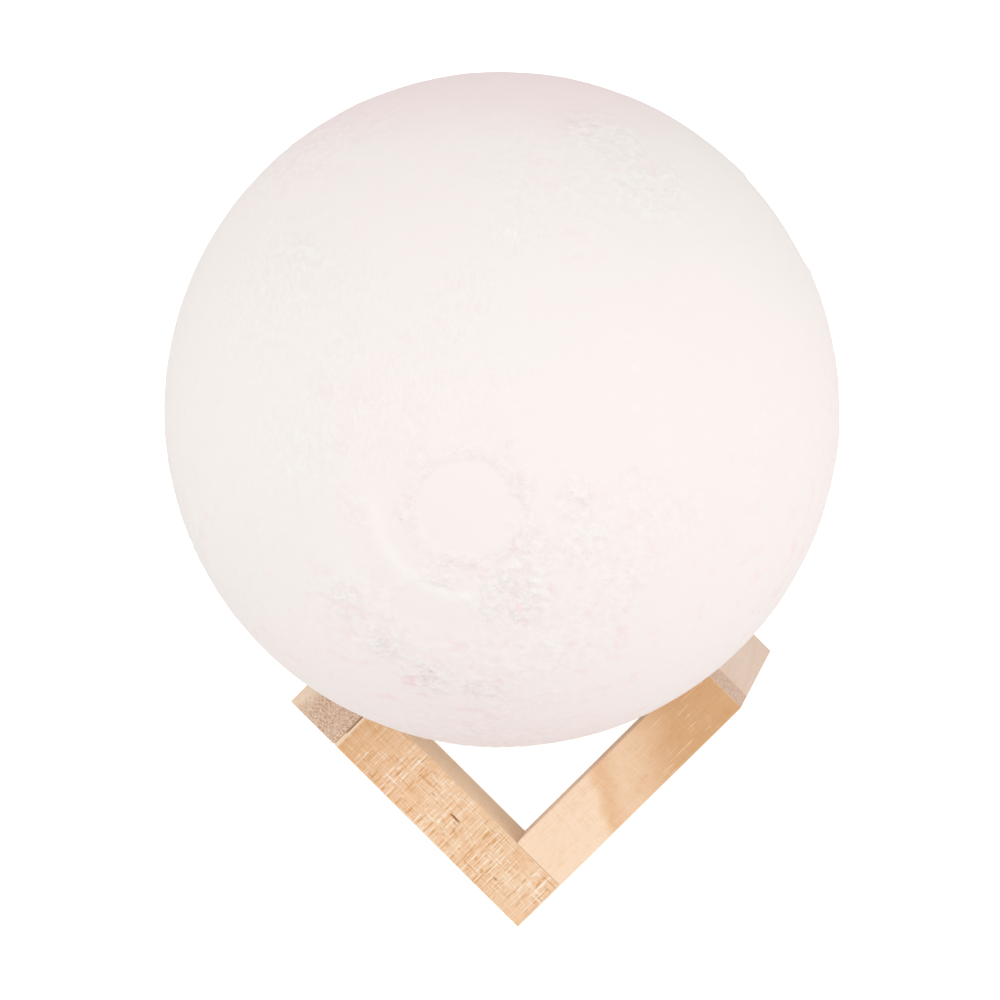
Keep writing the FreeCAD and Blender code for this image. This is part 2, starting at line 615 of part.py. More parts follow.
def battery_leads():
    """One lead from the cell's upper end and one from the side of its can, to the board."""
    away = CELL_LEAD_RADIUS
    shoulder = CELL_TOP - CELL_BUTTON_HEIGHT
    start = away - 2 * LEAD_BEND
    bend_top = shoulder + LEAD_BEND / 2
    upper = lead([
        Vector(start, 0, shoulder),
        Vector(start, 0, bend_top),
        (Vector(start + LEAD_BEND, 0, bend_top + LEAD_BEND), Vector(away, 0, bend_top)),
        Vector(away, 0, BOARD_TOP)])
    height = CELL_BASE + CELL_LEAD_HEIGHT
    can = -CELL_DIAMETER / 2
    bend = CELL_LEAD_GAP
    lean = bend * math.sqrt(0.5)
    lower = lead([
        Vector(can, 0, height),
        (Vector(can - lean, 0, height - bend + lean), Vector(can - bend, 0, height - bend)),
        Vector(can - bend, 0, BOARD_TOP)])
    return Part.makeCompound([upper, lower])


def globe():
    """The moon and all that it holds, with heights above the land."""
    pieces = {
        "base_cap": base_cap(),
        "power_button": power_button(),
        "switch_plunger": rod(PLUNGER_DIAMETER, PLUNGER_UNDER, PLUNGER_UNDER + PLUNGER_LENGTH),
        "switch_body": switch_body(),
        "charge_socket": charge_socket(),
        "socket_pin": socket_pin(),
        "status_light_pipe": light_pipe(),
        "status_led": status_led(),
        "control_board": control_board(),
        "control_chips": control_chips(),
        "cap_screws": Part.makeCompound([screw(FACE, SCREW_LENGTH, place, True) for place in SCREW_PLACES]),
        "module_cup": module_cup(),
        "battery_cell": battery_cell(),
        "battery_pad_lower": rod(CELL_DIAMETER, BOARD_TOP, CELL_BASE),
        "battery_pad_upper": rod(2 * UPPER_PAD_RADIUS, CELL_TOP, DECK_UNDER),
        "battery_leads": battery_leads(),
        "led_board": led_board(),
        "led_chips": led_chips(),
        "led_board_screws": Part.makeCompound([
            screw(LED_BOARD_TOP + SCREW_HEAD_HEIGHT, LED_SCREW_LENGTH, place, False) for place in LED_SCREW_PLACES]),
        "led_leads": led_leads(),
        "led_diffuser": led_diffuser(),
    }
    land_height = MOON_HEIGHT - LAND_DROP
    for piece in pieces.values():
        piece.translate(Vector(0, 0, land_height))
    pieces["moon_shell"] = moon_shell()
    pieces["moon_shell"].translate(Vector(0, 0, MOON_HEIGHT))
    return pieces


# ---------------------------------------------------------------- writing
os.makedirs("parts", exist_ok=True)
lamp = {**crown(), **globe()}
for name, piece in lamp.items():
    piece.exportStep(f"parts/{name}.step")
    print(f"{name}: solids {len(piece.Solids)}, valid {piece.isValid()}, volume {piece.Volume:.1f}")
print(f"moon's centre {MOON_HEIGHT:.2f}, land {MOON_HEIGHT - LAND_DROP:.2f}, peaks {PEAK_HEIGHT:.2f}")
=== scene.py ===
import bmesh
import bpy
import json
import math
import numpy as np
from mathutils import Matrix, Vector


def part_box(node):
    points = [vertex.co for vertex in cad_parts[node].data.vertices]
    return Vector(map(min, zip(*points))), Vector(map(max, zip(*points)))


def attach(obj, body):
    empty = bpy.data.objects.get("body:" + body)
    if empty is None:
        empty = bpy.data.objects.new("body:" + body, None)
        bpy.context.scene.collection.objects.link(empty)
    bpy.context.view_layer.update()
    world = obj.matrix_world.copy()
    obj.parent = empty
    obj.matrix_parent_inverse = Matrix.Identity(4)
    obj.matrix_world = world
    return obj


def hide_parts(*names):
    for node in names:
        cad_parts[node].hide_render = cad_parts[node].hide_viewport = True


# Moon lamp: the printed moon gets its relief here, and every piece its surface.
# Metres, +Z up, front is -Y, as in the model that it dresses.

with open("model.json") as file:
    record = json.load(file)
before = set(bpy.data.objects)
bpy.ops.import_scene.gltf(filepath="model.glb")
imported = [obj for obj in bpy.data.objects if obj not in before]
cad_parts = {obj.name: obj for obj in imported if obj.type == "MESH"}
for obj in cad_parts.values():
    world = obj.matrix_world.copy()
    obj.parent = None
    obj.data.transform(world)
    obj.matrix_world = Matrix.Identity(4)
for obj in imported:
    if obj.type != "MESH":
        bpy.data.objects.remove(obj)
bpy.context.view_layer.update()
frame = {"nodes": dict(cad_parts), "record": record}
NODES = frame["nodes"]

# ---------------------------------------------------------------- sizes
MM = 0.001
MOON_RADIUS = 75.0 * MM
SHELL_WALL = 2.4 * MM
MOON_CENTRE = Vector((0, 0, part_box("moon_shell")[1].z - MOON_RADIUS))
LAND_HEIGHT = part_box("moon_shell")[0].z
OPENING_RADIUS = 20.3 * MM
SHARP_RINGS = 3             # both edges of the opening, and the floor's outer edge inside
INNER_RINGS = 40            # rings of faces up the smooth inner wall
LAYER_PITCH = 0.5 * MM      # from one printed layer to the next

# Levels of the relief, in mm outwards from the full radius
RELIEF_BASE = -0.45         # the plain surface, which lies under the highest rims
RELIEF_DEEPEST = -1.3
PEAK_HEIGHT = 0.20
DASH_HEIGHT = 0.09
RIM_SHARE = 0.42            # a crater's rim is this much of its depth
CRATER_REACH = 1.5          # as a multiple of a crater's radius

# On the moon a place is its longitude from the front towards +X and its latitude, in degrees.
# Sunken plains: place, width in mm, depth in mm, how rough the ground is round the edge
PLAINS = (
    (3.0, 26.3, 22.0, 0.30, 0.8), (-4.6, 7.2, 17.0, 0.18, 0.3), (64.0, 14.0, 18.0, 0.10, 0.2),
    (33.0, 45.0, 40.0, 0.08, 0.0), (118.0, 22.0, 26.0, 0.30, 0.6), (165.0, 40.0, 18.0, 0.30, 0.5),
    (-118.0, 12.0, 22.0, 0.28, 0.6),
)
# Large craters: place, width in mm
CRATERS = (
    (13.2, 31.0, 3.6), (22.0, 24.6, 5.0), (33.6, 27.0, 3.4), (9.8, 22.8, 3.0), (15.5, 17.5, 3.4),
    (10.5, 12.6, 3.8), (8.0, 8.4, 2.8), (-24.0, 6.6, 3.2), (-19.0, 0.0, 3.6), (-13.0, -4.6, 3.2),
    (-6.5, -9.0, 3.8), (5.0, -3.0, 3.4), (-17.0, 25.0, 2.8), (92.0, -10.0, 7.2), (140.0, -16.0, 8.0),
    (-148.0, -12.0, 7.4), (-160.0, 34.0, 6.0), (-62.0, -20.0, 6.6),
)
# Rough fields: place, reach in mm, strength
ROUGH = (
    (9.6, 11.0, 9.5, 1.1), (13.0, 19.0, 6.0, 1.0), (22.6, 25.4, 5.5, 0.8), (28.0, 10.0, 7.0, 0.6),
    (22.0, 18.0, 7.0, 0.7), (34.3, 25.1, 5.0, 0.5), (39.4, 15.6, 7.0, 0.35), (-17.5, 24.6, 4.5, 0.5),
    (-2.4, 15.2, 5.0, 0.7), (-19.3, 7.6, 6.0, 0.9), (-12.9, -0.3, 6.0, 1.1), (-6.3, -7.7, 7.0, 1.15),
    (1.8, -9.9, 6.0, 1.0), (3.0, -15.0, 8.0, 0.55), (-8.0, -14.0, 5.0, 0.65), (12.0, -14.0, 7.0, 0.5),
    (12.2, -3.3, 11.0, 0.55), (22.3, -1.5, 8.0, 0.4), (-8.4, 25.7, 2.6, 0.9), (-5.6, 34.4, 3.0, 0.8),
    (3.0, 36.0, 3.0, 0.6), (10.9, 34.8, 3.0, 0.9), (13.6, 28.8, 2.6, 0.9), (10.2, 23.4, 2.6, 0.9),
    (-29.9, 41.7, 5.0, 0.55), (-26.9, 30.7, 4.5, 0.45), (-27.2, 49.1, 5.0, 0.40), (-19.9, 42.3, 4.0, 0.4),
    (-58.0, 50.0, 10.0, 0.35), (-60.0, 58.0, 4.0, 0.55), (116.0, 67.0, 11.0, 0.6), (92.0, 60.0, 12.0, 0.6),
    (30.0, 17.0, 14.0, 0.42), (22.0, 6.0, 11.0, 0.42), (6.0, -4.0, 16.0, 0.42), (-2.0, 46.0, 20.0, 0.28),
    (-30.0, 34.0, 16.0, 0.30), (-58.0, 52.0, 22.0, 0.30), (-16.0, 4.0, 14.0, 0.45), (70.0, 74.0, 22.0, 0.30),
    (98.0, -10.0, 28.0, 0.5), (-70.0, -8.0, 26.0, 0.6), (150.0, 5.0, 30.0, 0.7), (-150.0, 15.0, 30.0, 0.6),
    (-120.0, 55.0, 24.0, 0.5), (0.0, -35.0, 24.0, 0.6), (180.0, -40.0, 30.0, 0.6),
)
# Fields of fine dashes that run north: place, reach in mm
DASHES = (
    (6.0, 61.7, 8.0), (-2.8, 55.1, 9.0), (-6.8, 47.0, 10.0), (-20.0, 42.0, 9.0), (26.0, 70.0, 7.0),
    (-58.0, 50.0, 18.0), (-27.0, 49.0, 10.0), (-27.0, 36.0, 9.0), (-12.0, 38.0, 10.0), (-34.0, 58.0, 10.0),
)
# Ring ridges: the plain that they go round, radius in degrees, height in mm, first and last bearing
RIDGES = ((0, 15.5, 0.20, 165.0, 285.0), (0, 24.0, 0.07, 190.0, 262.0))
# Small peaks, painted bright by the crest highlight of the small forms: place, width in mm
PEAKS = ((38.7, 36.2, 1.6), (42.0, 42.0, 1.1), (43.5, 47.0, 1.2), (26.3, 70.5, 3.2))
# Faint colour tints by place on the moon: place, distance in m up to which it is full and at which it has
# gone, colour
TINTS = (
    (-62.0, 22.0, 0.045, 0.075, (0.972, 1.0, 0.992)), (180.0, 46.0, 0.050, 0.068, (1.0, 0.945, 0.96)),
    (4.0, -32.0, 0.030, 0.054, (1.0, 0.972, 0.978)), (10.0, 74.0, 0.045, 0.065, (0.985, 1.0, 0.992)),
    (108.0, 42.0, 0.035, 0.058, (0.975, 1.0, 0.99)),
)

# Chance craters: places tried, the chance on smooth ground, the roughness above which it grows, and the
# smallest and largest width in mm
PLACES_TRIED = 24000
SMOOTH_CHANCE = 0.006
ROUGH_ENOUGH = 0.26
CHANCE_WIDTHS = (1.2, 3.6)

# What each point of the moon tells its material: how rough the ground is, the painted shade of its small
# forms (darker in pits, lighter on crests), its dashes
PRINT_VALUES = ("rough_ground", "small_forms_shade", "north_strokes")


# ---------------------------------------------------------------- camera, light and floor
CAMERA_PLACE = Vector((0.15566, -0.77111, 0.81960))
CAMERA_ACROSS = Vector((0.98905, 0.11125, -0.09698))
CAMERA_UP = Vector((-0.00649, 0.68927, 0.72448))
SENSOR_WIDTH = 36.0         # mm, as is the lens
LENS = 172.03

WORLD_COLOUR = (1.0, 0.97, 0.96)
WORLD_STRENGTH = 0.735
# Lights: name, place, width, power in watts, colour
LIGHTS = (
    ("right_softbox", (1.12, -0.31, 0.42), 0.9, 2.85, (0.98, 1.0, 1.0)),
    ("left_softbox", (-0.94, -0.54, 0.62), 0.9, 1.85, (0.98, 1.0, 1.0)),
    ("front_fill", (0.22, -1.07, 1.14), 0.6, 1.8, (0.98, 1.0, 1.0)),
    ("top_fill", (-0.45, -0.25, 1.25), 0.8, 1.0, (1.0, 0.99, 0.99)),
)

FLOOR_RADIUS = 6.0
FLOOR_DROP = 0.2 * MM       # keeps it off the feet
FLOOR_TONE = 0.90
FLOOR_GLOW = 0.6            # for the camera alone


def make_camera():
    """The photograph's view of the lamp, from above and a little to its right."""
    data = bpy.data.cameras.new("camera")
    data.sensor_width = SENSOR_WIDTH
    data.lens = LENS
    data.clip_start = 0.05
    data.clip_end = 20.0
    camera = bpy.data.objects.new("camera", data)
    axes = Matrix((CAMERA_ACROSS, CAMERA_UP, CAMERA_ACROSS.cross(CAMERA_UP)))
    camera.matrix_world = Matrix.Translation(CAMERA_PLACE) @ axes.transposed().to_4x4()
    bpy.context.scene.collection.objects.link(camera)
    bpy.context.scene.camera = camera


def area_light(name, place, width, power, colour):
    """A soft round light that faces the moon."""
    data = bpy.data.lights.new(name, "AREA")
    data.shape = "DISK"
    data.size = width
    data.energy = power
    data.color = colour
    light = bpy.data.objects.new(name, data)
    light.location = place
    light.rotation_mode = "QUATERNION"
    light.rotation_quaternion = (MOON_CENTRE - Vector(place)).to_track_quat("-Z", "Y")
    bpy.context.scene.collection.objects.link(light)


def make_world():
    """Even light from all round. The camera and the reflections see pure white instead."""
    world = bpy.data.worlds.new("studio")
    world.use_nodes = True
    nodes, links = world.node_tree.nodes, world.node_tree.links
    nodes.clear()
    path = nodes.new("ShaderNodeLightPath")
    seen = nodes.new("ShaderNodeMath")
    seen.operation = "MAXIMUM"
    links.new(path.outputs["Is Camera Ray"], seen.inputs[0])
    links.new(path.outputs["Is Glossy Ray"], seen.inputs[1])
    light = nodes.new("ShaderNodeBackground")
    light.inputs["Color"].default_value = (*WORLD_COLOUR, 1)
    light.inputs["Strength"].default_value = WORLD_STRENGTH
    white = nodes.new("ShaderNodeBackground")
    white.inputs["Color"].default_value = (1, 1, 1, 1)
    white.inputs["Strength"].default_value = 1.0
    mix = nodes.new("ShaderNodeMixShader")
    output = nodes.new("ShaderNodeOutputWorld")
    links.new(seen.outputs[0], mix.inputs["Fac"])
    links.new(light.outputs[0], mix.inputs[1])
    links.new(white.outputs[0], mix.inputs[2])
    links.new(mix.outputs[0], output.inputs["Surface"])
    bpy.context.scene.world = world


def floor_material():
    """Matt white with a glow that only the camera sees, so that it looks as white as in the photograph."""
    material = bpy.data.materials.new("floor")
    material.use_nodes = True
    nodes, links = material.node_tree.nodes, material.node_tree.links
    nodes.clear()
    diffuse = nodes.new("ShaderNodeBsdfDiffuse")
    diffuse.inputs["Color"].default_value = (FLOOR_TONE, FLOOR_TONE, FLOOR_TONE, 1)
    glow = nodes.new("ShaderNodeEmission")
    glow.inputs["Color"].default_value = (1, 1, 1, 1)
    path = nodes.new("ShaderNodeLightPath")
    seen = nodes.new("ShaderNodeMath")
    seen.operation = "MULTIPLY"
    seen.inputs[1].default_value = FLOOR_GLOW
    links.new(path.outputs["Is Camera Ray"], seen.inputs[0])
    links.new(seen.outputs[0], glow.inputs["Strength"])
    both = nodes.new("ShaderNodeAddShader")
    output = nodes.new("ShaderNodeOutputMaterial")
    links.new(diffuse.outputs[0], both.inputs[0])
    links.new(glow.outputs[0], both.inputs[1])
    links.new(both.outputs[0], output.inputs["Surface"])
    return material


def make_floor():
    """A round white floor under the feet."""
    mesh = bpy.data.meshes.new("floor")
    shape = bmesh.new()
    bmesh.ops.create_circle(shape, cap_ends=True, radius=FLOOR_RADIUS, segments=96)
    shape.to_mesh(mesh)
    shape.free()
    floor = bpy.data.objects.new("floor", mesh)
    floor.location = (0, 0, -FLOOR_DROP)
    bpy.context.scene.collection.objects.link(floor)
    mesh.materials.append(floor_material())


# ---------------------------------------------------------------- the moon
def towards(longitude, latitude):
    """The direction of a place on the moon."""
    lon, lat = math.radians(longitude), math.radians(latitude)
    return Vector((math.sin(lon) * math.cos(lat), -math.cos(lon) * math.cos(lat), math.sin(lat)))


def smooth_step(low, high, value):
    """0 at low, 1 at high and a soft climb between. Low may be the larger of the two."""
    t = np.clip((value - low) / (high - low), 0, 1)
    return t * t * (3 - 2 * t)


# Chance slopes for the smooth noise, and the order in which they are picked
SLOPES = 4096               # a power of two
GRADIENTS = np.random.default_rng(5).normal(size=(SLOPES, 3))
GRADIENTS /= np.linalg.norm(GRADIENTS, axis=1)[:, None]
SHUFFLE = np.random.default_rng(6).permutation(SLOPES)


def waves(points, seed):
    """Smooth noise at points in space, about -1 to 1."""
    cell = np.floor(points).astype(np.int64)
    part = points - cell
    fade = part ** 3 * (part * (part * 6 - 15) + 10)
    total = np.zeros(len(points))
    for corner in np.ndindex(2, 2, 2):
        place = cell + corner
        key = SHUFFLE[(place[:, 0] + 97 * seed) & SLOPES - 1]
        key = SHUFFLE[(key + place[:, 1]) & SLOPES - 1]
        slope = GRADIENTS[SHUFFLE[(key + place[:, 2]) & SLOPES - 1]]
        weight = np.prod(np.where(corner, fade, 1 - fade), axis=1)
        total += weight * np.sum(slope * (part - corner), axis=1)
    return 1.8 * total


def layered(directions, scale, octaves, seed):
    """Several sizes of noise, each twice as fine and half as strong as the one before."""
    total = np.zeros(len(directions))
    for i in range(octaves):
        total += 0.5 ** i * waves(directions * scale * 2.03 ** i + 7.3 * i, seed + i)
    return total


def angle_from(directions, longitude, latitude):
    """Angle from a place on the moon, in radians."""
    dots = np.clip(directions @ np.array(towards(longitude, latitude)), -1, 1)
    return np.arccos(dots)


def distance_mm(directions, longitude, latitude):
    """Distance along the moon's surface from a place, in mm."""
    return angle_from(directions, longitude, latitude) * MOON_RADIUS / MM


def bearing(directions, longitude, latitude):
    """Compass bearing seen from a place on the moon, in degrees, 0 north and 90 towards +X."""
    centre = towards(longitude, latitude)
    north = towards(longitude, latitude + 90).normalized()
    east = north.cross(centre)
    return np.degrees(np.arctan2(directions @ np.array(east), directions @ np.array(north))) % 360


def scattered(rng, count):
    """Chance places for small craters and their widths in mm, many small and few large."""
    points = rng.normal(size=(count, 3))
    points /= np.linalg.norm(points, axis=1)[:, None]
    smallest, largest = CHANCE_WIDTHS
    widths = smallest * (1 - rng.random(count)) ** -0.42
    return points, np.clip(widths, smallest, largest)


def terrain(directions):
    """How rough each place is from 0 to 1, how far it is sunk in mm, and two waves that break up edges."""
    slow = layered(directions, scale=5.0, octaves=4, seed=1)
    ragged = layered(directions, scale=22.0, octaves=3, seed=11)
    rough = 0.05 + 0.04 * smooth_step(0.5, -0.4, directions[:, 0])
    for longitude, latitude, reach, strength in ROUGH:
        away = distance_mm(directions, longitude, latitude) / reach + 0.30 * ragged
        rough = np.maximum(rough, strength * smooth_step(1.35, 0.5, away))
    sunk = np.zeros(len(directions))
    for longitude, latitude, width, depth, edge in PLAINS:
        away = distance_mm(directions, longitude, latitude) / (width / 2) + 0.07 * slow + 0.07 * ragged
        inside = smooth_step(1.06, 0.90, away)
        sunk = np.maximum(sunk, depth * inside)
        rough = np.maximum(rough, edge * np.exp(-((away - 1.12) / 0.15) ** 2))
        if depth > 0.15:
            rough = rough * (1 - 0.93 * inside)
    return rough * (0.85 + 0.35 * ragged), sunk, slow, ragged


def crater_depth(width, share):
    """Wide craters are deeper than narrow ones, but not in proportion."""
    return share * width ** 0.8


def crater_list():
    """The large craters and the chance ones that land on rough ground: direction, width, depth in mm."""
    found = [(np.array(towards(lon, lat)), width, crater_depth(width, 0.065)) for lon, lat, width in CRATERS]
    rng = np.random.default_rng(11)
    points, widths = scattered(rng, PLACES_TRIED)
    chance = rng.random(len(points))
    rough = terrain(points)[0]
    for point, width, luck, strength in zip(points, widths, chance, rough):
        if luck < SMOOTH_CHANCE + max(strength - ROUGH_ENOUGH, 0.0):
            found.append((point, width, crater_depth(width, 0.02 + 0.07 * min(strength, 1))))
    return found


def ridge_height(directions, slow, ragged):
    """Height of the ring ridges, in mm."""
    height = np.zeros(len(directions))
    for index, radius, rise, first, last in RIDGES:
        longitude, latitude = PLAINS[index][:2]
        away = np.degrees(angle_from(directions, longitude, latitude))
        along = bearing(directions, longitude, latitude)
        arc = smooth_step(first, first + 20, along) * smooth_step(last, last - 20, along)
        crest = radius * (1 + 0.04 * slow + 0.02 * ragged)
        height += rise * arc * np.exp(-((away - crest) / 1.2) ** 2)
    return height


def dash_fields(directions, ragged):
    """Where short strokes run north, from 0 to 1."""
    fields = np.zeros(len(directions))
    for longitude, latitude, reach in DASHES:
        away = distance_mm(directions, longitude, latitude) / reach + 0.25 * ragged
        fields = np.maximum(fields, smooth_step(1.4, 0.4, away))
    return fields


def add_craters(small, directions, ragged, middle):
    """Sinks each crater's bowl into the small forms and raises its rim.

    The points are ranked by height, so that each crater only looks at those in its own band.
    """
    order = np.argsort(directions[:, 2])
    ranked = directions[order]
    for point, width, depth in crater_list():
        reach = CRATER_REACH * width / 2 * MM / MOON_RADIUS
        first, last = np.searchsorted(ranked[:, 2], (point[2] - reach, point[2] + reach))
        beside = np.nonzero(np.abs(ranked[first:last, 0] - point[0]) < reach)[0] + first
        apart = np.linalg.norm(ranked[beside] - point, axis=1)
        beside, apart = beside[apart < reach], apart[apart < reach]
        near = order[beside]
        uneven = 1 + 0.25 * ragged[near] + 0.25 * middle[near]
        away = apart * MOON_RADIUS / MM / (width / 2) * uneven
        bowl = -depth * smooth_step(1.05, 0.15, away)
        rim = RIM_SHARE * depth * np.exp(-((away - 1.10) / 0.20) ** 2)
        small[near] += bowl + rim


def relief(directions):
    """The printed surface at each direction.

    Gives its height in mm from the full radius, how rough it is, the height of its small forms alone, and
    where short strokes run north.
    """
    rough, sunk, slow, ragged = terrain(directions)
    coarse = waves(directions * 30.0, seed=41)
    middle = waves(directions * 44.0, seed=42)
    fine = waves(directions * 66.0, seed=43)
    small = rough * (0.20 * middle + 0.20 * fine + 0.20 * (0.25 - np.abs(coarse)) + 0.05 * ragged)
    small += ridge_height(directions, slow, ragged)
    stroked = dash_fields(directions, ragged)
    latitudes = np.arcsin(np.clip(directions[:, 2], -1, 1))
    strokes = waves(np.column_stack((75 * directions[:, 0], 16 * latitudes, 40 * directions[:, 1])), seed=31)
    small += DASH_HEIGHT * stroked * strokes
    add_craters(small, directions, ragged, middle)
    for longitude, latitude, width in PEAKS:
        away = distance_mm(directions, longitude, latitude) / (width / 2)
        small += PEAK_HEIGHT * np.exp(-away ** 2)
    height = RELIEF_BASE + 0.10 * slow - sunk + small
    return np.clip(height, RELIEF_DEEPEST, 0), rough, small, stroked


def outer_skin(shape):
    """The sphere with its relief, cut off at the land. Each point keeps what its material reads."""
    bmesh.ops.create_icosphere(shape, subdivisions=8, radius=1.0)
    land = (LAND_HEIGHT - MOON_CENTRE.z) / MOON_RADIUS
    bmesh.ops.bisect_plane(shape, geom=shape.verts[:] + shape.edges[:] + shape.faces[:],
                           plane_co=(0, 0, land), plane_no=(0, 0, -1), clear_outer=True)
    layers = [shape.verts.layers.float.new(name) for name in PRINT_VALUES]
    verts = list(shape.verts)
    directions = np.array([v.co for v in verts])
    directions /= np.linalg.norm(directions, axis=1)[:, None]
    height, rough, small, stroked = relief(directions)
    height *= smooth_step(0.0, 0.03, directions[:, 2] - land)
    radii = MOON_RADIUS + height * MM
    # The small forms' heights become a painted shade: darker in pits and bowls, lighter on rims, ridges and
    # peaks
    tones = np.clip(0.5 + 1.5 * small, 0, 1)
    for vert, direction, radius, *values in zip(verts, directions, radii, rough, tones, stroked):
        vert.co = Vector(direction) * radius
        for layer, value in zip(layers, values):
            vert[layer] = value


def inner_wall(shape):
    """The land, the opening's wall and the smooth inside, ring after ring from the cut edge.

    Gives the edges that stay sharp: those of the land, of the opening and of the floor inside.
    """
    edges = [e for e in shape.edges if e.is_boundary]
    sharp = set(edges)
    inner = MOON_RADIUS - SHELL_WALL
    land = LAND_HEIGHT - MOON_CENTRE.z
    floor = land + SHELL_WALL
    start = math.acos(-floor / inner)
    rings = [(OPENING_RADIUS, land), (OPENING_RADIUS, floor)]
    for i in range(INNER_RINGS):
        angle = start + (math.pi - start) * i / INNER_RINGS
        rings.append((inner * math.sin(angle), -inner * math.cos(angle)))
    for count, (radius, level) in enumerate(rings):
        made = bmesh.ops.extrude_edge_only(shape, edges=edges)["geom"]
        edges = [g for g in made if isinstance(g, bmesh.types.BMEdge)]
        for vert in {v for e in edges for v in e.verts}:
            flat = Vector((vert.co.x, vert.co.y)).normalized() * radius
            vert.co = (flat.x, flat.y, level)
        if count < SHARP_RINGS:
            sharp.update(edges)
    cap = bmesh.ops.holes_fill(shape, edges=edges)["faces"]
    bmesh.ops.poke(shape, faces=cap)
    return sharp


def make_moon():
    """The printed shell: relief outside, a smooth wall inside, a flat land and the opening."""
    shape = bmesh.new()
    outer_skin(shape)
    sharp = inner_wall(shape)
    bmesh.ops.recalc_face_normals(shape, faces=shape.faces)
    for face in shape.faces:
        face.smooth = True
    for edge in sharp:
        if edge.is_valid:
            edge.smooth = False
    bmesh.ops.translate(shape, verts=shape.verts, vec=MOON_CENTRE)
    mesh = bpy.data.meshes.new("moon_relief")
    shape.to_mesh(mesh)
    shape.free()
    moon = bpy.data.objects.new("moon_relief", mesh)
    bpy.context.scene.collection.objects.link(moon)
    moon.data.materials.append(moon_material())
    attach(moon, "globe")
    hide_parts("moon_shell")


# ---------------------------------------------------------------- materials
class Tree:
    """A material's nodes, made with short calls."""

    def __init__(self, name):
        self.material = bpy.data.materials.new(name)
        self.material.use_nodes = True
        self.nodes = self.material.node_tree.nodes
        self.links = self.material.node_tree.links
        self.shader = self.nodes["Principled BSDF"]
        self.place = self.node("TexCoord").outputs["Object"]

    def node(self, kind, settings=(), **inputs):
        """A node with its settings. Inputs are given by name, with _ for a space."""
        made = self.nodes.new("ShaderNode" + kind)
        for key, value in dict(settings).items():
            setattr(made, key, value)
        for key, value in inputs.items():
            self.feed(made.inputs[key.replace("_", " ")], value)
        return made

    def feed(self, socket, value):
        """Links a socket to another node's, or sets it to a constant."""
        if isinstance(value, bpy.types.NodeSocket):
            self.links.new(value, socket)
        else:
            socket.default_value = value

    def feed_colour(self, socket, value):
        """The same for a colour, whose constant has three parts."""
        self.feed(socket, value if isinstance(value, bpy.types.NodeSocket) else (*value, 1))

    def calc(self, kind, *values, clamp=False):
        """One step of arithmetic, by Blender's name for it."""
        made = self.nodes.new("ShaderNodeMath")
        made.operation = kind
        made.use_clamp = clamp
        for socket, value in zip(made.inputs, values):
            self.feed(socket, value)
        return made.outputs[0]

    def add(self, first, second):
        return self.calc("ADD", first, second)

    def size(self, value):
        """A value without its sign."""
        return self.calc("ABSOLUTE", value)

    def times(self, first, *others, clamp=False):
        """A product. Clamp keeps it between 0 and 1."""
        for other in others[:-1]:
            first = self.calc("MULTIPLY", first, other)
        return self.calc("MULTIPLY", first, others[-1], clamp=clamp)

    def vector_value(self, kind, first, second):
        made = self.nodes.new("ShaderNodeVectorMath")
        made.operation = kind
        self.feed(made.inputs[0], first)
        self.feed(made.inputs[1], second)
        return made.outputs["Value"]

    def dot(self, vector, direction):
        return self.vector_value("DOT_PRODUCT", vector, direction)

    def distance(self, vector, point):
        return self.vector_value("DISTANCE", vector, point)

    def parts(self):
        """The place's X, Y and Z."""
        return self.node("SeparateXYZ", Vector=self.place).outputs

    def noise(self, vector, scale, detail, roughness=0.5, distortion=0.0):
        """Smooth noise, whose scale is in waves per metre."""
        made = self.node("TexNoise", Vector=vector, Scale=scale, Detail=detail, Roughness=roughness,
                         Distortion=distortion)
        return made.outputs["Fac"]

    def cells(self, scale, **settings):
        """Distance to the middle of the nearest cell."""
        return self.node("TexVoronoi", settings, Vector=self.place, Scale=scale).outputs["Distance"]

    def ramp(self, value, low, high, start=0.0, end=1.0):
        """A value stretched from one range onto another, with soft ends."""
        made = self.node("MapRange", {"interpolation_type": "SMOOTHSTEP"}, Value=value, From_Min=low,
                         From_Max=high, To_Min=start, To_Max=end)
        return made.outputs["Result"]

    def facing(self, axis, low, high, start=0.0, end=1.0):
        """How far the surface faces along an axis, either way, as a ramp."""
        normal = self.node("NewGeometry").outputs["Normal"]
        return self.ramp(self.size(self.dot(normal, axis)), low, high, start, end)

    def mix(self, share, first, second, kind="MIX"):
        """The first colour at share 0 and the second at 1."""
        made = self.nodes.new("ShaderNodeMix")
        made.data_type = "RGBA"
        made.blend_type = kind
        self.feed(made.inputs[0], share)
        self.feed_colour(made.inputs[6], first)
        self.feed_colour(made.inputs[7], second)
        return made.outputs[2]

    def shade(self, share, colour, tone):
        """A colour multiplied by a tone, as far as the share says."""
        return self.mix(share, colour, tone, "MULTIPLY")

    def bump(self, height, strength, distance, normal=None):
        """A normal that shows the height, on top of another normal if one is given."""
        made = self.node("Bump", Height=height, Strength=strength, Distance=distance)
        if normal is not None:
            self.links.new(normal, made.inputs["Normal"])
        return made.outputs["Normal"]

    def paint(self, colour, roughness, normal, **constants):
        """Feeds the shader and gives the finished material."""
        self.feed_colour(self.shader.inputs["Base Color"], colour)
        self.feed(self.shader.inputs["Roughness"], roughness)
        self.links.new(normal, self.shader.inputs["Normal"])
        for key, value in constants.items():
            self.shader.inputs[key.replace("_", " ")].default_value = value
        return self.material


def linear(red, green, blue):
    """An sRGB colour of 0 to 255 as the shader wants it."""
    def one(value):
        value /= 255
        return value / 12.92 if value <= 0.04045 else ((value + 0.055) / 1.055) ** 2.4
    return (one(red), one(green), one(blue))


def scaled(colour, share):
    """A colour at a share of its strength, and never past white."""
    return [min(1.0, share * c) for c in colour]
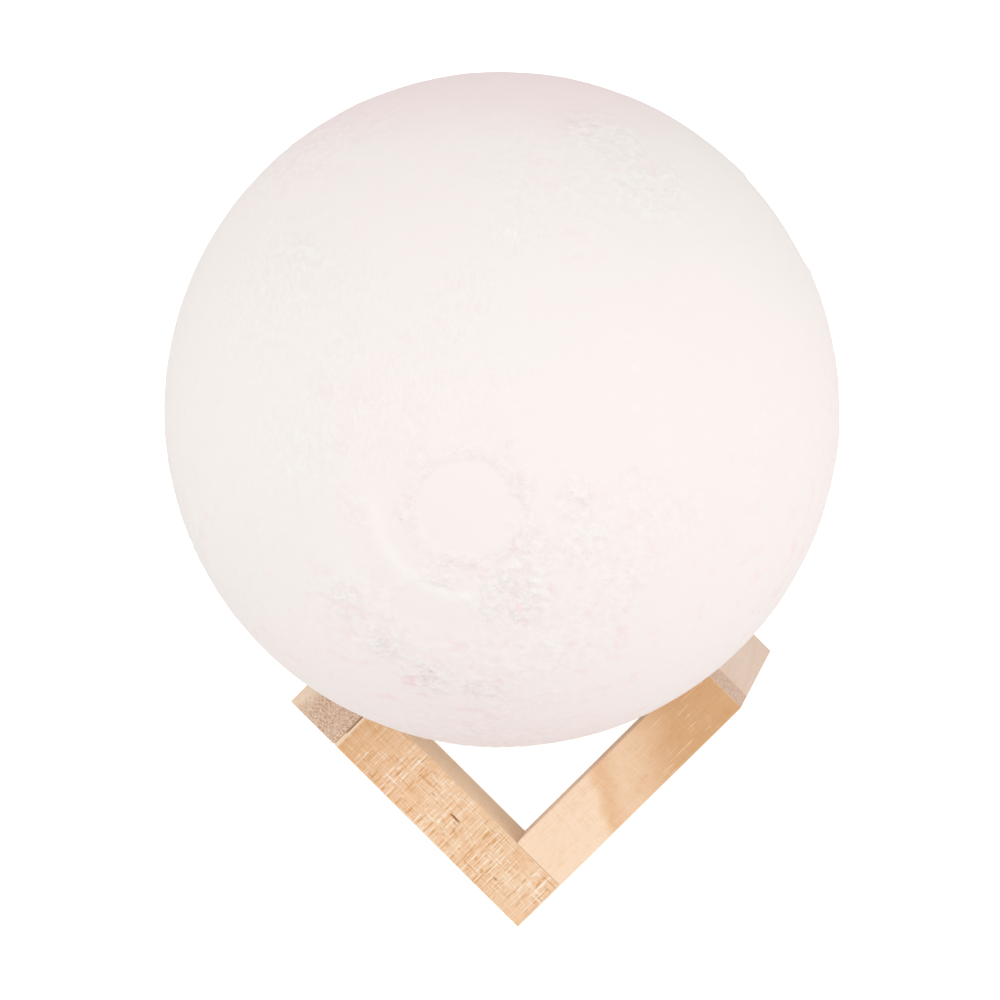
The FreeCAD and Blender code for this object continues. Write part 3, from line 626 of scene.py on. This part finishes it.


# Tones of the moon's print. The first pair is painted shade in the pits and a painted highlight on the
# crests.
PIT_SHADE_TONE, CREST_HIGHLIGHT_TONE = linear(245, 234, 231), linear(255, 252, 250)
CRUMB_LOW, CRUMB_HIGH = linear(249, 237, 235), linear(255, 255, 253)
STROKE_LOW, STROKE_HIGH = linear(243, 233, 230), linear(255, 253, 251)
SOFT_TONE = linear(251, 244, 241)
MOTTLE_PINK = linear(251, 222, 225)
SPECK_TONE = linear(254, 251, 249)
# Heights in mm at which the pink mottle sets in, is full, and has faded again
MOTTLE_HEIGHTS = (150, 85, 50)


def moon_material():
    """Printed off-white with a faint pink mottle, painted shade in its pits and a painted highlight on its
    crests, with fine layer lines.
    """
    t = Tree("moon_print")
    rough, forms, dashed = [t.node("Attribute", {"attribute_name": name}).outputs["Fac"]
                            for name in PRINT_VALUES]
    level = t.parts()["Z"]
    soft = t.noise(t.place, 22.0, 3.0)
    mottle = t.noise(t.place, 190.0, 3.0, 0.6)
    speck = t.noise(t.place, 620.0, 3.0, 0.55)
    crumbs = t.noise(t.place, 520.0, 3.0, 0.65)
    # The first direction is across the strokes and fine, the second along them and four times as coarse
    stretched = t.node("CombineXYZ", X=t.dot(t.place, (1640, 185, -160)), Y=t.dot(t.place, (0, 290, 305)),
                       Z=0.0)
    stroke = t.noise(stretched.outputs[0], 1.0, 2.0, 0.55)

    # Painted shade in the pits and painted highlight on the crests, from the small forms' heights
    colour = t.mix(forms, PIT_SHADE_TONE, CREST_HIGHLIGHT_TONE)
    crumbled = t.mix(t.ramp(crumbs, 0.36, 0.64), CRUMB_LOW, CRUMB_HIGH)
    colour = t.mix(t.times(rough, 0.62, clamp=True), colour, crumbled)
    stroke_tone = t.mix(t.ramp(stroke, 0.36, 0.62), STROKE_LOW, STROKE_HIGH)
    colour = t.mix(t.times(dashed, 0.20), colour, stroke_tone)
    colour = t.mix(t.times(t.ramp(soft, 0.35, 0.68), 0.5), colour, SOFT_TONE)
    for longitude, latitude, full, none, tint in TINTS:
        apart = t.distance(t.place, MOON_CENTRE + MOON_RADIUS * towards(longitude, latitude))
        apart = t.calc("MULTIPLY_ADD", soft, 0.03, apart)
        colour = t.shade(t.ramp(apart, none, full), colour, tint)

    # The pink mottle grows downwards and with the roughness, and fades again towards the underside
    sets_in, full, faded = [height * MM for height in MOTTLE_HEIGHTS]
    below = t.times(t.ramp(level, sets_in, full), t.ramp(level, faded, full, 0.2, 0.48))
    where = t.calc("MULTIPLY_ADD", rough, t.ramp(level, faded, full, 0.2, 0.55), below)
    pink = t.times(t.ramp(mottle, 0.54, 0.72), where, clamp=True)
    colour = t.mix(t.times(pink, 0.8), colour, MOTTLE_PINK)
    colour = t.mix(t.times(t.ramp(speck, 0.60, 0.74), 0.15), colour, SPECK_TONE)

    wobble = t.calc("MULTIPLY_ADD", t.noise(t.place, 60.0, 2.0), 0.6 * MM, level)
    layers = t.calc("SINE", t.times(wobble, 2 * math.pi / LAYER_PITCH))
    pits = t.times(t.noise(t.place, 1000.0, 3.0, 0.6), t.add(rough, 0.04))
    normal = t.bump(layers, 0.07, 0.03 * MM)
    normal = t.bump(pits, 0.8, 0.35 * MM, normal)
    normal = t.bump(t.times(crumbs, rough), 1.0, 0.6 * MM, normal)
    normal = t.bump(t.times(stroke, dashed), 0.4, 0.3 * MM, normal)
    return t.paint(colour, t.ramp(mottle, 0.3, 0.7, 0.62, 0.78), normal, Specular_IOR_Level=0.25)


# What darkens the beech, as shares of red, green and blue
FLAME_SHADE = (0.90, 0.78, 0.62)
FIGURE_SHADE = (0.95, 0.90, 0.83)
SPOT_SHADE = (0.95, 0.87, 0.76)
GRAIN_SHADE = (0.88, 0.77, 0.66)
HATCH_SHADE = (0.79, 0.58, 0.35)
DASH_SHADE = (0.72, 0.52, 0.34)
# What is drawn on it
HATCH_LIGHT = linear(255, 242, 226)
SCRATCH_LIGHT = linear(252, 226, 190)
FLECK_BROWN = linear(152, 100, 54)
# The seam's pale line is a painted highlight; its brown line is the joint
SEAM_HIGHLIGHT, SEAM_BROWN = linear(255, 240, 220), linear(112, 70, 44)
END_LIGHT, END_DARK = linear(228, 197, 172), linear(192, 157, 133)
END_ARC, END_DOT = linear(226, 200, 180), linear(244, 226, 210)
END_PALE_BAND = linear(243, 222, 198)
# Where one tone passes into the next, in mm along the bar
CHANGES = (13.5, 16.5, 22.0, 40.0)
# The side faces' paler tone and its share: partly their own tone and partly painted light that lifts their
# shade
SIDE_COLOUR_AND_LIGHT, SIDE_SHARE = (250, 226, 208), 0.45
SLANT_PIVOT = -12.2 * MM    # across the bar, where a slanted front keeps its place


class Beech(Tree):
    """Sanded beech on a straight bar, whose noises run along the bar, across it and through it."""

    def __init__(self, name, along, across, seed):
        super().__init__(name)
        through = along.cross(across)
        self.seed = seed
        self.along = self.dot(self.place, along)
        self.across = self.dot(self.place, across)
        self.through = self.dot(self.place, through)
        self.is_end = self.facing(along, 0.75, 0.95)
        self.is_face = self.facing(through, 0.5, 0.9, 0.25, 1.0)

    def fibres(self, along, across, through, detail, roughness=0.5, distortion=0.0):
        """Noise with its own fineness, in waves per metre, in each of the bar's directions."""
        place = self.node("CombineXYZ", X=self.calc("MULTIPLY_ADD", self.along, along, self.seed),
                          Y=self.times(self.across, across), Z=self.times(self.through, through))
        return self.noise(place.outputs[0], 1.0, detail, roughness, distortion)

    def hatched(self, colour, cross, cluster, rays):
        """Fine light and dark lines across the bar and along it, each kind broken up by its own mask."""
        weave = self.fibres(20, 2700, 2700, 1.0)
        here = self.ramp(self.fibres(1700, 460, 460, 2.0), 0.44, 0.58)
        there = self.ramp(self.fibres(460, 1700, 1700, 2.0), 0.46, 0.60)
        strength = self.times(cluster, self.is_face, self.ramp(self.along, 0.018, 0.034, rays, 0.45 * rays))
        light = self.add(self.times(self.ramp(cross, 0.51, 0.62), here),
                         self.times(self.ramp(weave, 0.53, 0.64, 0.0, 0.8), there))
        colour = self.mix(self.times(light, strength, clamp=True), colour, HATCH_LIGHT)
        dark = self.add(self.times(self.ramp(cross, 0.48, 0.38), here),
                        self.times(self.ramp(weave, 0.46, 0.36, 0.0, 0.8), there))
        return self.shade(self.times(dark, strength, clamp=True), colour, HATCH_SHADE)

    def flecked(self, colour, marks, spots):
        """Single dark flecks, pointed at both ends and slightly bent."""
        for place, offset, length, width, depth in marks:
            bend = self.calc("MULTIPLY_ADD", spots, 0.8 * MM, (-0.4 - offset) * MM)
            over = self.calc("DIVIDE", self.size(self.add(self.along, -place * MM)), length / 2 * MM)
            beside = self.calc("DIVIDE", self.size(self.add(self.across, bend)), width / 2 * MM)
            within = self.ramp(self.add(self.calc("POWER", over, 2.0), beside), 1.1, 0.5)
            colour = self.mix(self.times(within, self.is_face, depth), colour, FLECK_BROWN)
        return colour

    def seamed(self, colour, seam):
        """The joint at the bar's end: a painted highlight along its edge, and a dark line on all but the
        outer third.
        """
        # Painted highlight: a pale line beside the joint, where its edge catches the light
        pale = self.times(self.ramp(self.along, (seam - 1.2) * MM, (seam - 0.8) * MM), self.is_face)
        colour = self.mix(self.times(pale, 0.6), colour, SEAM_HIGHLIGHT)
        line = self.times(self.ramp(self.along, (seam - 0.48) * MM, (seam - 0.30) * MM), self.is_face)
        inner = self.ramp(self.across, -16.6 * MM, -15.6 * MM, 0.0, 0.9)
        return self.mix(self.times(line, inner), colour, SEAM_BROWN)

    def end_grain(self, pale_band):
        """Pores, light dots and arcs on a sawn end, and its paler part if it has one."""
        pores = self.fibres(1, 1500, 1500, 3.0, 0.7)
        dots = self.fibres(1, 2300, 2300, 1.0)
        arcs = self.fibres(1, 120, 520, 3.0)
        end = self.mix(self.ramp(pores, 0.38, 0.60), END_LIGHT, END_DARK)
        end = self.mix(self.times(self.ramp(arcs, 0.45, 0.62), 0.4), end, END_ARC)
        end = self.mix(self.times(self.ramp(dots, 0.58, 0.68), 0.8), end, END_DOT)
        # A paler band across part of the end, if the bar has one
        if pale_band:
            start, full = pale_band
            edge = self.calc("MULTIPLY_ADD", arcs, 4 * MM, self.through)
            end = self.mix(self.ramp(edge, start * MM, full * MM, 0.0, 0.75), end, END_PALE_BAND)
        return end


def beech_material(name, along, across, seed, tones, rays, strokes=0.2, slant=0.0, flame=0.0, marks=(),
                   seam=0.0, pale_band=(), side=(SIDE_COLOUR_AND_LIGHT, SIDE_SHARE)):
    """Sanded beech.

    The tones are those of the lower end, the middle and the upper end; the darker upper end is partly the
    wood's own tone and partly painted shade from the moon above. Rays are the fine lines across the bar and
    strokes the light ones along it. Slant leans the places where the tones change over, and flame darkens the
    wood at the first of them. Marks are single dark flecks: place along and across, length, width and
    strength. The seam is the end of a bar whose joint shows as a line with a painted highlight beside it, in
    mm. The pale band is where the end grain turns paler, in mm, and side the tone of the two side faces and
    its share, partly their own tone and partly painted light that lifts their shade.
    """
    t = Beech(name, along, across, seed)
    figure = t.fibres(22, 110, 110, 3.0, 0.5, 0.6)
    spots = t.fibres(420, 560, 560, 3.0, 0.6)
    grain = t.fibres(70, 1500, 1500, 4.0, 0.6)
    cross = t.fibres(2700, 24, 24, 1.0)
    dash = t.fibres(330, 2800, 2800, 2.0)
    scratch = t.fibres(150, 2400, 2400, 2.0)
    cluster = t.ramp(t.fibres(90, 130, 130, 2.0), 0.36, 0.60, 0.5, 1.0)
    slanted = t.calc("MULTIPLY_ADD", t.add(t.across, -SLANT_PIVOT), -slant, t.along)
    wavy = t.add(slanted, t.calc("MULTIPLY_ADD", figure, 10 * MM, -5 * MM))

    def passing(first, last):
        """0 before the first place along the bar, in mm, and 1 past the last, on a slanted, wavy front."""
        return t.ramp(wavy, first * MM, last * MM)

    # The upper tone is partly the wood's own and partly painted shade from the moon above the bar
    low, middle, high = [linear(*tone) for tone in tones]
    low_ends, middle_starts, middle_ends, high_starts = CHANGES
    upper = passing(middle_ends, high_starts)
    colour = t.mix(passing(low_ends, middle_starts), low, middle)
    colour = t.mix(upper, colour, high)
    band = t.times(passing(low_ends - 1, low_ends + 1.5), passing(middle_starts + 5, middle_starts + 0.5))
    colour = t.shade(t.times(band, flame), colour, FLAME_SHADE)
    colour = t.shade(t.times(t.ramp(figure, 0.40, 0.66), 0.45), colour, FIGURE_SHADE)
    colour = t.shade(t.ramp(spots, 0.50, 0.68, 0.0, 0.35 + 0.45 * rays), colour, SPOT_SHADE)
    side_colour_and_light, side_share = side
    # Painted light: the side faces turn paler, partly their own tone and partly to lift their shade
    colour = t.mix(t.ramp(t.is_face, 1.0, 0.25, 0.0, side_share), colour, linear(*side_colour_and_light))
    colour = t.shade(t.times(t.ramp(grain, 0.52, 0.74), 0.25), colour, GRAIN_SHADE)
    colour = t.hatched(colour, cross, cluster, rays)
    colour = t.shade(t.times(t.ramp(dash, 0.64, 0.72), cluster, 0.20 + 0.6 * rays), colour, DASH_SHADE)
    colour = t.mix(t.times(t.ramp(scratch, 0.62, 0.72), upper, strokes), colour, SCRATCH_LIGHT)
    colour = t.flecked(colour, marks, spots)
    if seam:
        colour = t.seamed(colour, seam)
    colour = t.mix(t.is_end, colour, t.end_grain(pale_band))
    heights = t.calc("MULTIPLY_ADD", cross, rays, grain)
    return t.paint(colour, t.ramp(grain, 0.3, 0.7, 0.45, 0.6), t.bump(heights, 0.25, 0.1 * MM),
                   Specular_IOR_Level=0.35)


def moulded_material(name, colour, finish, grain, depth, **shine):
    """Moulded plastic: faint flow marks and an eroded texture of a given fineness and depth."""
    t = Tree(name)
    flow = t.noise(t.place, 70.0, 3.0, 0.5, 0.8)
    spark = t.noise(t.place, grain, 2.0, 0.6)
    paint = t.mix(t.ramp(flow, 0.35, 0.65), scaled(colour, 0.92), colour)
    paint = t.mix(t.times(t.ramp(spark, 0.55, 0.75), 0.3), paint, scaled(colour, 1.08))
    return t.paint(paint, t.ramp(spark, 0.3, 0.7, finish - 0.06, finish + 0.06), t.bump(spark, 0.5, depth),
                   **shine)


def metal_material(name, colour, finish, lines):
    """Plated metal: fine tooling lines round the axis and a cloudy shine."""
    t = Tree(name)
    x, y, z = t.parts()
    tooling = t.node("CombineXYZ", X=t.times(x, lines), Y=t.times(y, lines), Z=t.times(z, 8 * lines))
    fine = t.noise(tooling.outputs[0], 1.0, 3.0, 0.6)
    cloud = t.noise(t.place, 420.0, 3.0)
    paint = t.mix(t.ramp(cloud, 0.35, 0.65), scaled(colour, 0.86), colour)
    paint = t.mix(t.times(t.ramp(fine, 0.55, 0.75), 0.3), paint, scaled(colour, 0.7))
    return t.paint(paint, t.ramp(fine, 0.3, 0.7, finish - 0.06, finish + 0.10), t.bump(fine, 0.3, 0.04 * MM),
                   Metallic=1.0)


BORE_SHADE = (0.03, 0.03, 0.03)


def board_material(name, lacquer, track, pads):
    """A lacquered circuit board: tracks under the lacquer, small plated holes with painted shade in their
    bores, bare glass at the edge.
    """
    t = Tree(name)
    squares = t.cells(430.0, distance="CHEBYCHEV")
    holes = t.cells(300.0)
    weave = t.noise(t.place, 1500.0, 2.0)
    flat = t.facing((0, 0, 1), 0.6, 0.9)
    lines = t.ramp(t.size(t.calc("SUBTRACT", squares, 0.36)), 0.075, 0.045)
    colour = t.mix(t.ramp(weave, 0.35, 0.65), scaled(lacquer, 0.86), lacquer)
    colour = t.mix(t.times(lines, 0.8), colour, track)
    colour = t.mix(t.ramp(holes, 0.15, 0.12), colour, pads)
    # Painted shade: a near-black disc stands in for the inside of each hole
    colour = t.mix(t.ramp(holes, 0.07, 0.05), colour, BORE_SHADE)
    colour = t.mix(flat, linear(196, 186, 140), colour)
    heights = t.add(lines, t.times(weave, 0.4))
    return t.paint(colour, t.ramp(weave, 0.3, 0.7, 0.28, 0.4), t.bump(heights, 0.4, 0.05 * MM),
                   Coat_Weight=0.3)


def cell_material():
    """A shrink-wrapped cell: a coloured sleeve with rolled edges, a paper washer and bare metal ends."""
    t = Tree("cell_wrap")
    x, y, z = t.parts()
    radius = t.calc("SQRT", t.add(t.calc("POWER", x, 2.0), t.calc("POWER", y, 2.0)))
    is_end = t.facing((0, 0, 1), 0.7, 0.9)
    top = t.ramp(z, 68 * MM, 69 * MM)
    film = t.noise(t.place, 160.0, 3.0, 0.5, 0.5)
    fine = t.noise(t.place, 1400.0, 2.0)
    sleeve = t.mix(t.ramp(film, 0.35, 0.65), linear(52, 140, 192), linear(72, 158, 206))
    seam = t.ramp(t.size(x), 0.4 * MM, 0.3 * MM)
    sleeve = t.mix(t.times(seam, 0.35), sleeve, linear(30, 96, 140))
    metal = t.mix(t.ramp(fine, 0.35, 0.65), linear(196, 196, 192), linear(222, 221, 217))
    washer = t.mix(t.ramp(fine, 0.3, 0.7), linear(206, 220, 214), linear(226, 234, 230))
    ring = t.times(t.ramp(radius, 3.6 * MM, 3.8 * MM), t.ramp(radius, 6.7 * MM, 6.5 * MM), top)
    bare = t.times(is_end, t.ramp(radius, 7.4 * MM, 7.2 * MM))
    colour = t.mix(bare, sleeve, t.mix(ring, metal, washer))
    t.feed(t.shader.inputs["Metallic"], t.times(bare, t.calc("SUBTRACT", 1.0, ring)))
    return t.paint(colour, t.ramp(film, 0.3, 0.7, 0.24, 0.36), t.bump(film, 0.3, 0.1 * MM))


def foam_material():
    """Closed foam: small cells with thin walls, each cell's hollow darker as painted shade."""
    t = Tree("foam")
    cells = t.cells(1900.0)
    cloud = t.noise(t.place, 300.0, 3.0)
    colour = t.mix(t.ramp(cloud, 0.35, 0.65), linear(66, 66, 68), linear(84, 84, 87))
    # Painted shade: each cell darkens towards its middle, where the bump sinks it
    colour = t.mix(t.ramp(cells, 0.45, 0.05), colour, linear(38, 38, 40))
    return t.paint(colour, t.ramp(cells, 0.0, 0.6, 0.95, 0.8), t.bump(cells, 0.6, 0.2 * MM),
                   Specular_IOR_Level=0.2)


def sheath_material(name, colour):
    """Soft insulation with a faint ripple and a soft shine."""
    t = Tree(name)
    ripple = t.noise(t.place, 900.0, 2.0)
    cloud = t.noise(t.place, 240.0, 3.0)
    paint = t.mix(t.ramp(cloud, 0.35, 0.65), scaled(colour, 0.82), colour)
    return t.paint(paint, t.ramp(ripple, 0.3, 0.7, 0.42, 0.55), t.bump(ripple, 0.3, 0.06 * MM),
                   Coat_Weight=0.15)


def lamp_material():
    """A white body with a grainy yellow face."""
    t = Tree("lamp_yellow")
    grains = t.cells(5200.0)
    cloud = t.noise(t.place, 700.0, 2.0)
    face = t.mix(t.ramp(cloud, 0.35, 0.65), linear(238, 200, 84), linear(248, 218, 104))
    face = t.mix(t.times(t.ramp(grains, 0.4, 0.1), 0.4), face, linear(222, 168, 52))
    body = t.mix(t.ramp(cloud, 0.3, 0.7), linear(226, 226, 220), linear(240, 240, 235))
    colour = t.mix(t.facing((0, 0, 1), 0.6, 0.9), body, face)
    return t.paint(colour, t.ramp(cloud, 0.3, 0.7, 0.28, 0.4), t.bump(grains, 0.3, 0.03 * MM),
                   Coat_Weight=0.4)


def clear_material(name, tint, finish, grain, share):
    """Clear or frosted plastic with an uneven haze."""
    t = Tree(name)
    haze = t.noise(t.place, grain, 3.0, 0.6)
    cloud = t.noise(t.place, 90.0, 2.0)
    colour = t.mix(t.ramp(cloud, 0.3, 0.7), scaled(tint, 0.95), tint)
    return t.paint(colour, t.ramp(haze, 0.3, 0.7, finish - 0.05, finish + 0.08), t.bump(haze, 0.3, 0.04 * MM),
                   Transmission_Weight=share, IOR=1.49)


def dress(name, material):
    """Gives a model node its surface."""
    NODES[name].data.materials.clear()
    NODES[name].data.materials.append(material)


def long_axis(name):
    """The direction in which a node is longest."""
    points = np.array([v.co for v in NODES[name].data.vertices])
    return Vector(np.linalg.svd(points - points.mean(axis=0), full_matrices=False)[2][0])


# ---------------------------------------------------------------- the scene
bpy.context.scene.view_settings.view_transform = "Standard"
make_camera()
make_world()
make_floor()
for light in LIGHTS:
    area_light(*light)
make_moon()

# Edge directions of the crown at its front foot, as in the model
LEFT_RISE = Vector((-1 / math.sqrt(2), 1 / math.sqrt(6), 1 / math.sqrt(3)))
RIGHT_RISE = Vector((1 / math.sqrt(2), 1 / math.sqrt(6), 1 / math.sqrt(3)))

# Tones at the lower end, the middle and the upper end of a bar; the darker upper ends are partly the wood's
# own tone and partly painted shade from the moon above them
WARM_SHADED_TOP = ((245, 210, 174), (242, 204, 166), (230, 186, 140))
PALE_SHADED_TOP = ((253, 226, 198), (246, 212, 178), (222, 177, 130))
ROSE = ((237, 214, 196), (236, 213, 196), (234, 211, 193))
PLAIN_SHADED_TOP = ((246, 214, 180), (241, 205, 168), (232, 190, 149))
FLECKS = ((7.4, -12.4, 3.8, 0.66, 1.0), (14.7, -12.2, 1.6, 0.35, 0.5), (25.6, -12.5, 1.4, 0.3, 0.5),
          (-8.8, -15.9, 1.6, 0.45, 0.8), (6.6, -13.3, 2.0, 0.3, 0.5))

# Each bar: direction along it and across it, third of the crown, seed of its grain, tones, and its own
# figure.
# The front left bar's full side tone is painted light on its side strip in the moon's shade, and its seam has
# a painted highlight.
BARS = {
    "bar_front_left": (LEFT_RISE, RIGHT_RISE, 0, 3.0, WARM_SHADED_TOP,
                       {"rays": 1.0, "marks": FLECKS, "seam": 38.76, "side": ((255, 228, 196), 1.0)}),
    "bar_front_right": (RIGHT_RISE, LEFT_RISE, 0, 11.0, PALE_SHADED_TOP,
                        {"rays": 0.14, "strokes": 0.75, "slant": 0.55, "flame": 0.6}),
    "bar_right_side": (LEFT_RISE, RIGHT_RISE, 1, 17.0, ROSE, {"rays": 0.15}),
    "bar_back_right": (RIGHT_RISE, LEFT_RISE, 1, 23.0, WARM_SHADED_TOP, {"rays": 0.5}),
    "bar_back_left": (LEFT_RISE, RIGHT_RISE, 2, 31.0, PLAIN_SHADED_TOP, {"rays": 0.3, "flame": 0.4}),
    "bar_left_side": (RIGHT_RISE, LEFT_RISE, 2, 41.0, PLAIN_SHADED_TOP, {"rays": 0.4, "pale_band": (50.0, 53.0)}),
}
for name, (along, across, third, seed, tones, figure) in BARS.items():
    turn = Matrix.Rotation(math.radians(120 * third), 3, "Z")
    dress(name, beech_material(name + "_beech", turn @ along, turn @ across, seed, tones, **figure))

DOWEL_TONE = (226, 190, 148)
for count, name in enumerate(sorted(n for n in NODES if n.startswith("dowel"))):
    axis = long_axis(name)
    dress(name, beech_material(name + "_wood", axis, axis.orthogonal().normalized(), 50.0 + count,
                               [DOWEL_TONE] * 3, rays=0.1, strokes=0.0))

SURFACES = {
    "cap_plastic": moulded_material("cap_plastic", linear(247, 245, 242), 0.55, 2600.0, 0.09 * MM),
    "button_plastic": moulded_material("button_plastic", linear(244, 244, 241), 0.3, 1300.0, 0.02 * MM,
                                       Coat_Weight=0.2),
    "black_plastic": moulded_material("black_plastic", linear(42, 42, 43), 0.5, 2200.0, 0.06 * MM),
    "white_plunger": moulded_material("white_plunger", linear(238, 238, 233), 0.4, 2400.0, 0.03 * MM),
    "contact_metal": metal_material("contact_metal", linear(226, 226, 224), 0.2, 900.0),
    "screw_steel": metal_material("screw_steel", linear(202, 202, 204), 0.3, 1300.0),
    "green_board": board_material("green_board", linear(30, 110, 66), linear(58, 146, 90),
                                  linear(205, 205, 198)),
    "white_metal_board": board_material("white_metal_board", linear(246, 246, 244), linear(228, 228, 225),
                                        linear(206, 206, 200)),
    "cell_wrap": cell_material(),
    "foam": foam_material(),
    "red_sheath": sheath_material("red_sheath", linear(204, 52, 44)),
    "white_sheath": sheath_material("white_sheath", linear(238, 237, 233)),
    "lamp_yellow": lamp_material(),
    "clear_plastic": clear_material("clear_plastic", linear(240, 246, 248), 0.2, 800.0, 0.5),
    "frosted_plastic": clear_material("frosted_plastic", linear(249, 249, 247), 0.55, 1500.0, 0.6),
}
for row in frame["record"]["subparts"]:
    if row["material_slot"] in SURFACES:
        dress(row["node"], SURFACES[row["material_slot"]])
